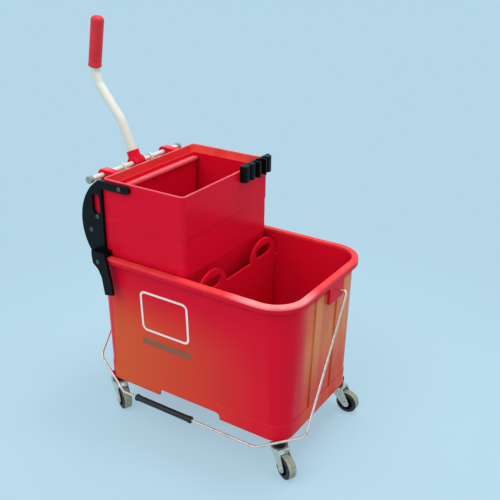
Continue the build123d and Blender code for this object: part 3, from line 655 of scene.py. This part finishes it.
def dipped_vinyl(name, colour):
    """Vinyl dipped over the tube: soft satin red, slightly pebbled, darker where hands hold it."""
    made, tree, place = blank_material(name)
    soft = add(tree, "ShaderNodeBevel", {"Radius": 0.5 * MM}, samples=6)
    hold = add(tree, "ShaderNodeTexNoise", {"Vector": place, "Scale": per(30), "Detail": 4.0})
    shown = add(tree, "ShaderNodeMix", {
        "Factor": hold, "A": rgba(colour, 0.82), "B": rgba(colour, 1.15)}, data_type="RGBA")
    # Pebbles are 1 mm across.
    pebble = add(tree, "ShaderNodeTexVoronoi", {
        "Vector": place, "Scale": per(1.0)}, feature="SMOOTH_F1")
    bump = add(tree, "ShaderNodeBump", {
        "Height": pebble.outputs["Distance"], "Strength": 0.2, "Distance": 0.0002,
        "Normal": soft})
    return finished(made, {
        "IOR": 1.53, "Roughness": 0.42, "Specular IOR Level": 0.25,
        "Base Color": shown, "Normal": bump})


def screen_ink(name, colour):
    """Screen ink on plastic: a chalky film, pitted where the red shows through."""
    made, tree, place = blank_material(name)
    # Pits are 2.5 mm across.
    pits = add(tree, "ShaderNodeTexNoise", {
        "Vector": place, "Scale": per(2.5), "Detail": 4.0, "Roughness": 0.7})
    gone = add(tree, "ShaderNodeMapRange", {
        "Value": pits, "From Min": 0.62, "From Max": 0.70, "To Max": 0.7})
    shown = add(tree, "ShaderNodeMix", {
        "Factor": gone, "A": rgba(colour), "B": rgba(linear("#C98A80"))}, data_type="RGBA")
    bump = add(tree, "ShaderNodeBump", {"Height": pits, "Strength": 0.1, "Distance": 0.0001})
    return finished(made, {"IOR": 1.5, "Roughness": 0.5, "Base Color": shown, "Normal": bump})


# -------- operators
class MOPBUCKET_OT_finishes(bpy.types.Operator):
    """Give every solid its moulded, painted or plated surface"""

    bl_idname = "mopbucket.finishes"
    bl_label = "Finish the Solids"

    def execute(self, context):
        chosen = context.scene.bucket_finishes
        red = moulded_polypropylene("glossy_red_polypropylene", chosen)
        bucket_red = moulded_polypropylene(
            "weathered_red_polypropylene", chosen, marks=bucket_wear_and_painted_sheen)
        wringer_red = moulded_polypropylene(
            "rubbed_red_polypropylene", chosen, marks=wringer_painted_sheen)
        plate_red = moulded_polypropylene("scraped_red_polypropylene", chosen, marks=flange_painted_highlight)
        sheet = moulded_polypropylene("red_polypropylene_sheet", chosen, 0.30, 0.6 * MM)
        nylon = glass_filled_nylon("black_glass_filled_nylon", chosen.black)
        cream = powder_coat("cream_powder_coat", chosen.cream)
        zinc = zinc_plate("bright_zinc_plate", chosen.zinc)
        pressed = zinc_plate(
            "passivated_zinc_on_pressed_steel", linear("#DAD9CB"), 0.42, "#7D7A6A")
        acetal = glass_filled_nylon("grey_acetal", linear("#838C88"))
        vinyl = dipped_vinyl("red_dipped_vinyl", chosen.vinyl)
        rubber_black = rubber("black_sleeve_rubber", linear("#07090B"), linear("#1E1F20"), 0.5)
        by_node = {
            "bucket_shell": bucket_red, "wringer_box": wringer_red, "press_plate": plate_red,
            "lever_socket": red, "divider_panel": sheet, "drain_grate": sheet,
            "bracket_front": nylon, "bracket_rear": nylon, "mop_clip": nylon,
            "caster_bushes": nylon, "bail_wire": zinc, "plate_pin": zinc, "crank_pins": zinc,
            "bracket_screws": zinc, "cross_shaft": cream, "lever_tube": cream,
            "crank_arms": cream, "shaft_caps": acetal, "crank_followers": acetal,
            "bail_grip": rubber_black, "lever_grip": vinyl,
        }
        for corner in CORNERS:
            by_node[f"caster_fork_{corner}"] = pressed
            by_node[f"caster_stem_{corner}"] = zinc
            by_node[f"wheel_axle_{corner}"] = zinc
            by_node[f"wheel_hub_{corner}"] = nylon
            by_node[f"tyre_{corner}"] = rubber_black
        if set(by_node) != set(frame["nodes"]):
            raise RuntimeError(f"finish missing: {sorted(set(by_node) ^ set(frame['nodes']))}")
        for node, finish in by_node.items():
            dress(frame["nodes"][node], finish)
        return {"FINISHED"}


class MOPBUCKET_OT_tyres(bpy.types.Operator):
    """Model the four tyres: a rounded ring with a mould seam round its tread"""

    bl_idname = "mopbucket.tyres"
    bl_label = "Tyres"

    def execute(self, context):
        sizes, chosen = context.scene.bucket_wheels, context.scene.bucket_finishes
        radius, width = wheel_size()
        low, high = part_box("wheel_hub_rear_right")
        inner = (high.z - low.z) / 2
        tyre = begin("tyre_pattern", bpy.ops.mesh.primitive_cylinder_add,
                     vertices=64, radius=radius, depth=width)
        choose(tyre, "faces", lambda f: abs(f.normal.z) > 0.9)
        bpy.ops.mesh.inset(thickness=radius - inner)
        bpy.ops.mesh.bridge_edge_loops()
        for side in (-1, 1):
            bpy.ops.mesh.select_all(action="SELECT")
            bpy.ops.mesh.bisect(plane_co=(0, 0, side * sizes.seam / 2), plane_no=(0, 0, 1))
        choose(tyre, "edges", lambda e: abs(middle(e).z) > width / 2 - NEAR
               and min(c.co.xy.length for c in e.verts) > radius - NEAR)
        bpy.ops.mesh.bevel(offset=sizes.shoulder, segments=6, profile=0.5)
        choose(tyre, "faces", lambda f: abs(f.calc_center_median().z) < sizes.seam / 2
               and reach(f) > radius - NEAR)
        seam_depth = 0.4 * MM
        bpy.ops.mesh.extrude_region_shrink_fatten(
            TRANSFORM_OT_shrink_fatten={"value": -seam_depth})
        shaped(tyre, 40)
        tread = rubber("scuffed_grey_tread_rubber", chosen.tread, linear("#A5A690"), 0.75)
        wall = rubber("black_tyre_rubber", linear("#0D1112"), linear("#2A2E2B"), 0.55)
        dress(tyre, wall, tread)
        # The floor scuffs the tread and not quite half of each rounded shoulder.
        tread_half = width / 2 - sizes.shoulder * 0.45
        for face in tyre.data.polygons:
            face.material_index = int(face.center.xy.length > radius - sizes.shoulder
                                      and abs(face.center.z) < tread_half)
        made = copies(tyre, [f"tyre_rubber_{corner}" for corner in CORNERS], wheel_places())
        for corner, piece in zip(CORNERS, made, strict=True):
            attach(piece, f"wheel_{corner}")
            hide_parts(f"tyre_{corner}")
        return {"FINISHED"}


class MOPBUCKET_OT_wheel_centres(bpy.types.Operator):
    """Model the four wheel centres: a dished disc with ribs and a boss for the axle"""

    bl_idname = "mopbucket.wheel_centres"
    bl_label = "Wheel Centres"

    def execute(self, context):
        sizes, chosen = context.scene.bucket_wheels, context.scene.bucket_finishes
        low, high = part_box("wheel_hub_rear_right")
        radius, boss_end = (high.z - low.z) / 2, (high.y - low.y) / 2
        width = wheel_size()[1]
        # The axle's box gives its heads' radius. The bore round its shank is 0.62 of that.
        low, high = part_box("wheel_axle_rear_right")
        bore = (high.z - low.z) / 2 * 0.62
        boss = bore * 2.1
        sides = 8 * sizes.ribs
        hub = begin("hub_pattern", bpy.ops.mesh.primitive_cylinder_add,
                    vertices=sides, radius=radius, depth=width)
        choose(hub, "faces", lambda f: abs(f.normal.z) > 0.9)
        bpy.ops.mesh.inset(thickness=sizes.rim)
        bpy.ops.mesh.extrude_region_shrink_fatten(
            TRANSFORM_OT_shrink_fatten={"value": -sizes.dish})
        bpy.ops.mesh.inset(thickness=radius - sizes.rim - boss)
        bpy.ops.mesh.extrude_region_shrink_fatten(
            TRANSFORM_OT_shrink_fatten={"value": sizes.dish + boss_end - width / 2})
        bpy.ops.mesh.inset(thickness=boss - bore)
        bpy.ops.mesh.bridge_edge_loops()
        step, half_side = 2 * math.pi / sizes.ribs, math.pi / sides

        def under_rib(face):
            """True in the dish's floor at every eighth side, from which a rib rises."""
            at = face.calc_center_median()
            turn = (math.atan2(at.y, at.x) + step / 2) % step - step / 2
            return (abs(face.normal.z) > 0.9
                    and abs(abs(at.z) - (width / 2 - sizes.dish)) < NEAR
                    and abs(turn - half_side) < half_side * 0.9)

        choose(hub, "faces", under_rib)
        rib_height = sizes.dish * 0.7
        bpy.ops.mesh.extrude_region_shrink_fatten(
            TRANSFORM_OT_shrink_fatten={"value": rib_height})
        shaped(hub, 30)
        dress(hub, glass_filled_nylon("black_wheel_nylon", chosen.black))
        made = copies(hub, [f"wheel_centre_{corner}" for corner in CORNERS], wheel_places())
        for corner, piece in zip(CORNERS, made, strict=True):
            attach(piece, f"wheel_{corner}")
            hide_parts(f"wheel_hub_{corner}")
        return {"FINISHED"}


class MOPBUCKET_OT_screws(bpy.types.Operator):
    """Model the bracket screws: pan heads with a cross recess"""

    bl_idname = "mopbucket.screws"
    bl_label = "Bracket Screws"

    def execute(self, context):
        boxes = solids_of("bracket_screws")
        radius = (boxes[0][1].z - boxes[0][0].z) / 2
        height = boxes[0][1].y - boxes[0][0].y
        screw = begin("screw_pattern", bpy.ops.mesh.primitive_cylinder_add,
                      vertices=32, radius=radius, depth=height)
        choose(screw, "edges", lambda e: middle(e).z > height / 2 - NEAR)
        crown = height * 0.6
        bpy.ops.mesh.bevel(offset=crown, segments=5, profile=0.5)
        shaped(screw)
        # Two crossed bars, narrower at the foot, cut a recess 0.38 of the height deep.
        for turn in (0, math.pi / 2):
            bar = begin("recess", bpy.ops.mesh.primitive_cube_add, size=1.0)
            bpy.ops.transform.resize(value=(radius * 1.05, radius * 0.24, height))
            choose(bar, "faces", lambda f: f.normal.z < -0.9)
            bpy.ops.transform.resize(value=(0.45, 0.8, 1.0))
            bpy.ops.object.mode_set(mode="OBJECT")
            put(bar, Matrix.Translation((0, 0, height * 0.62)) @ Matrix.Rotation(turn, 4, "Z"))
            pick(screw)
            cut = screw.modifiers.new("recess", "BOOLEAN")
            cut.operation = "DIFFERENCE"
            cut.object = bar
            bpy.ops.object.modifier_apply(modifier=cut.name)
            pick(bar)
            bpy.ops.object.delete()
        dress(screw, zinc_plate("black_zinc_screw", linear("#5B6062"), 0.38, "#3C4042"))
        centres = [(low + high) / 2 for low, high in boxes]
        made = copies(screw, [f"screw_{number}" for number in range(len(centres))],
                      [along((0, math.copysign(1, c.y), 0), c) for c in centres])
        heads = joined(made, "bracket_screw_heads")
        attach(heads, "wringer")
        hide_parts("bracket_screws")
        return {"FINISHED"}


def sleeve(name, radius, length, bead, plain_end, rings=12):
    """A sleeve along Z from 0 up, ringed for shaping, with no ring in its plain upper end."""
    piece = begin(name, bpy.ops.mesh.primitive_cylinder_add,
                  vertices=48, radius=radius, depth=length)
    bpy.ops.transform.translate(value=(0, 0, length / 2))
    start = bead * 1.25
    ringed = length - plain_end - start
    heights = [bead * 0.5, bead] + [start + ringed * step / rings for step in range(rings)]
    for height in heights:
        bpy.ops.mesh.select_all(action="SELECT")
        bpy.ops.mesh.bisect(plane_co=(0, 0, height), plane_no=(0, 0, 1))
    return piece


class MOPBUCKET_OT_lever_grip(bpy.types.Operator):
    """Model the lever's grip: a dipped vinyl sleeve with a rounded crown and a beaded foot"""

    bl_idname = "mopbucket.lever_grip"
    bl_label = "Lever Grip"

    def execute(self, context):
        sizes = context.scene.bucket_grips
        foot, axis, radius, length = leaning_round("lever_grip")
        radius -= 0.1 * MM  # so that the grip's facets stay inside the solid's box
        grip = sleeve("lever_grip_sleeve", radius, length, sizes.bead, sizes.crown * 1.2)
        choose(grip, "edges", lambda e: min(c.co.z for c in e.verts) > length - NEAR)
        bpy.ops.mesh.bevel(offset=sizes.crown, segments=8, profile=0.5)
        choose(grip, "edges", lambda e: max(c.co.z for c in e.verts) < NEAR)
        bpy.ops.mesh.bevel(offset=sizes.lip, segments=4, profile=0.5)
        choose(grip, "faces", lambda f: min(c.co.z for c in f.verts) > sizes.bead * 1.2)
        thinner = 1 - sizes.waist
        bpy.ops.transform.resize(value=(thinner, thinner, 1), center_override=(0, 0, 0))
        shaped(grip, 50)
        dress(grip, frame["nodes"]["lever_grip"].data.materials[0])
        put(grip, along(axis, foot))
        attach(grip, "lever")
        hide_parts("lever_grip")
        return {"FINISHED"}


class MOPBUCKET_OT_bail_sleeve(bpy.types.Operator):
    """Model the sleeve that turns on the bail: a rubber tube with a bead at each end"""

    bl_idname = "mopbucket.bail_sleeve"
    bl_label = "Bail Sleeve"

    def execute(self, context):
        sizes = context.scene.bucket_grips
        low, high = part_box("bail_grip")
        radius, length = (high.y - low.y) / 2, high.x - low.x
        roll = sleeve("bail_sleeve_roll", radius, length, sizes.bead, sizes.bead)
        round_end = 1.5 * MM
        for end in (0, length):
            choose(roll, "edges", lambda e: max(abs(c.co.z - end) for c in e.verts) < NEAR)
            bpy.ops.mesh.bevel(offset=round_end, segments=3, profile=0.5)
        choose(roll, "faces", lambda f: min(c.co.z for c in f.verts) > sizes.bead * 1.2
               and max(c.co.z for c in f.verts) < length - sizes.bead * 1.2)
        thinner = 1 - 3 * sizes.waist
        bpy.ops.transform.resize(value=(thinner, thinner, 1), center_override=(0, 0, 0))
        shaped(roll, 50)
        dress(roll, frame["nodes"]["bail_grip"].data.materials[0])
        centre = (low + high) / 2
        put(roll, along((1, 0, 0), (low.x, centre.y, centre.z)))
        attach(roll, "bail_sleeve")
        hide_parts("bail_grip")
        return {"FINISHED"}


class MOPBUCKET_OT_front_panel(bpy.types.Operator):
    """Print a blank rounded outline on the front wall, with a plain strip under it"""

    bl_idname = "mopbucket.front_panel"
    bl_label = "Blank Outline and Strip"

    def execute(self, context):
        sizes, chosen = context.scene.bucket_panel, context.scene.bucket_finishes
        low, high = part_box("bucket_shell")
        shell = frame["nodes"]["bucket_shell"]
        # The middles of the outline and of the strip, found on the wall from 50 mm off it.
        left, off = -52 * MM, low.y - 50 * MM
        top, bottom = (
            shell.ray_cast(Vector((left, off, low.z + (high.z - low.z) * share)),
                           Vector((0, 1, 0)))[1] for share in (0.66, 0.42))
        wall_up = (top - bottom).normalized()
        outward = Vector((1, 0, 0)).cross(wall_up).normalized()
        turn = Matrix((Vector((1, 0, 0)), wall_up, outward)).transposed().to_4x4()

        def printed(piece, finish, at):
            """Gives a flat shape its film, and lays it on the wall."""
            bpy.ops.mesh.select_all(action="SELECT")
            bpy.ops.mesh.extrude_region_move(
                TRANSFORM_OT_translate={"value": (0, 0, sizes.film)})
            shaped(piece, 30)
            dress(piece, finish)
            put(piece, Matrix.Translation(at) @ turn)

        outline = begin("blank_outline", bpy.ops.mesh.primitive_plane_add, size=1.0)
        bpy.ops.transform.resize(value=(sizes.width, sizes.height, 1))
        bpy.ops.mesh.bevel(offset=sizes.corner, segments=8, affect="VERTICES")
        bpy.ops.mesh.select_all(action="SELECT")
        bpy.ops.mesh.inset(thickness=sizes.stroke)
        bpy.ops.mesh.delete(type="FACE")
        printed(outline, screen_ink("white_screen_ink", chosen.ink), top)
        strip = begin("blank_strip", bpy.ops.mesh.primitive_plane_add, size=1.0)
        bpy.ops.transform.resize(value=(sizes.width * 1.04, sizes.strip, 1))
        bpy.ops.mesh.bevel(offset=sizes.strip / 4, segments=6, affect="VERTICES")
        printed(strip, screen_ink("brown_vinyl_strip", linear("#8A4A2E")), bottom)
        for piece in (outline, strip):
            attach(piece, "bucket")
        return {"FINISHED"}


class MOPBUCKET_OT_stage(bpy.types.Operator):
    """Set up the pale floor, the soft studio light and the camera"""

    bl_idname = "mopbucket.stage"
    bl_label = "Stage"

    def execute(self, context):
        light = context.scene.bucket_stage
        pale = rgba(light.floor)
        # The floor is wider than any view of it. It keeps the shadow near the bucket, and from
        # 0.45 m to 1.2 m out it runs into the plain colour of what lies behind it.
        floor = begin("studio_floor", bpy.ops.mesh.primitive_circle_add,
                      vertices=96, radius=60.0, fill_type="NGON")
        bpy.ops.object.mode_set(mode="OBJECT")
        made, tree, place = blank_material("pale_studio_floor")
        lit = add(tree, "ShaderNodeBsdfDiffuse", {"Color": rgba(light.floor, 0.84)})
        plain = add(tree, "ShaderNodeEmission", {"Color": pale})
        far = add(tree, "ShaderNodeVectorMath", {0: place}, operation="LENGTH")
        share = add(tree, "ShaderNodeMapRange", {
            "Value": far.outputs["Value"], "From Min": 0.45, "From Max": 1.2,
            "To Min": 0.64}, interpolation_type="SMOOTHSTEP")
        mixed = add(tree, "ShaderNodeMixShader", {"Fac": share, 1: lit, 2: plain})
        add(tree, "ShaderNodeOutputMaterial", {"Surface": mixed})
        dress(floor, made)

        world = bpy.data.worlds.new("studio")
        context.scene.world = world
        world.use_nodes = True
        tree = world.node_tree
        tree.nodes.clear()
        path = add(tree, "ShaderNodeLightPath").outputs
        seen = path["Is Camera Ray"]
        for ray in ("Is Glossy Ray", "Is Transmission Ray"):
            seen = add(tree, "ShaderNodeMath", {0: seen, 1: path[ray]}, operation="MAXIMUM")
        soft = add(tree, "ShaderNodeBackground", {
            "Color": (1.0, 1.0, 1.0, 1.0), "Strength": light.sky})
        behind = add(tree, "ShaderNodeBackground", {"Color": pale})
        both = add(tree, "ShaderNodeMixShader", {"Fac": seen, 1: soft, 2: behind})
        add(tree, "ShaderNodeOutputWorld", {"Surface": both})

        # Each lamp's place, and the direction from which it shines.
        nothing_selected()
        lamps = []
        for kind, name, at, towards in (
                ("SUN", "broad_key_lamp", (-1.4, -1.6, 2.6), (-0.25, -0.95, 0.95)),
                ("AREA", "overhead_soft_box", (0.30, 0.35, 2.6), (0.20, 0.35, 2.3))):
            bpy.ops.object.light_add(type=kind, location=at)
            lamp = context.active_object
            lamp.name = name
            lamp.rotation_euler = Vector(towards).to_track_quat("Z", "Y").to_euler()
            lamps.append(lamp)
        key, overhead = lamps
        key.data.energy = light.key
        key.data.angle = math.radians(34)
        overhead.data.shape = "RECTANGLE"
        overhead.data.size, overhead.data.size_y = 0.7, 0.5
        overhead.data.energy = light.overhead
        overhead.visible_camera = False

        bpy.ops.object.camera_add()
        camera = context.active_object
        camera.name = "studio_camera"
        stand = (0.82913, -1.20629, 1.05363)
        right = Vector((0.83956, 0.54320, 0.00875)).normalized()
        ahead = Vector((-0.49203, 0.76709, -0.41169)).normalized()
        up = right.cross(ahead).normalized()
        turn = Matrix((right, up, -ahead)).transposed().to_4x4()
        camera.matrix_world = Matrix.Translation(stand) @ turn
        camera.data.sensor_width = 36.0  # mm, as is the lens
        camera.data.lens = 54.39
        camera.data.shift_x = 0.0014
        camera.data.clip_end = 200.0
        context.scene.camera = camera
        context.scene.view_settings.view_transform = "Standard"
        return {"FINISHED"}


GROUPS = {
    "bucket_finishes": BucketFinishes,
    "bucket_wheels": WheelSizes,
    "bucket_grips": GripSizes,
    "bucket_panel": PanelSizes,
    "bucket_stage": StageLight,
}
OPERATORS = (
    MOPBUCKET_OT_finishes, MOPBUCKET_OT_tyres, MOPBUCKET_OT_wheel_centres, MOPBUCKET_OT_screws,
    MOPBUCKET_OT_lever_grip, MOPBUCKET_OT_bail_sleeve, MOPBUCKET_OT_front_panel, MOPBUCKET_OT_stage,
)


class MOPBUCKET_PT_panel(bpy.types.Panel):
    """The bucket's pieces, in the order they are made"""

    bl_idname = "MOPBUCKET_PT_panel"
    bl_label = "Mop Bucket"
    bl_space_type = "VIEW_3D"
    bl_region_type = "UI"
    bl_category = "Mop Bucket"

    def draw(self, context):
        for made in OPERATORS:
            self.layout.operator(made.bl_idname)
        for name, group in GROUPS.items():
            box = self.layout.box()
            for value in group.__annotations__:
                box.prop(getattr(context.scene, name), value)


def register():
    for made in (*GROUPS.values(), *OPERATORS, MOPBUCKET_PT_panel):
        bpy.utils.register_class(made)
    for name, group in GROUPS.items():
        setattr(bpy.types.Scene, name, bpy.props.PointerProperty(type=group))


def unregister():
    for name in GROUPS:
        delattr(bpy.types.Scene, name)
    for made in (MOPBUCKET_PT_panel, *reversed(OPERATORS), *GROUPS.values()):
        bpy.utils.unregister_class(made)


def main():
    register()
    bpy.ops.mopbucket.finishes()
    bpy.ops.mopbucket.tyres()
    bpy.ops.mopbucket.wheel_centres()
    bpy.ops.mopbucket.screws()
    bpy.ops.mopbucket.lever_grip()
    bpy.ops.mopbucket.bail_sleeve()
    bpy.ops.mopbucket.front_panel()
    bpy.ops.mopbucket.stage()
    nothing_selected()


if __name__ == "__main__":
    main()
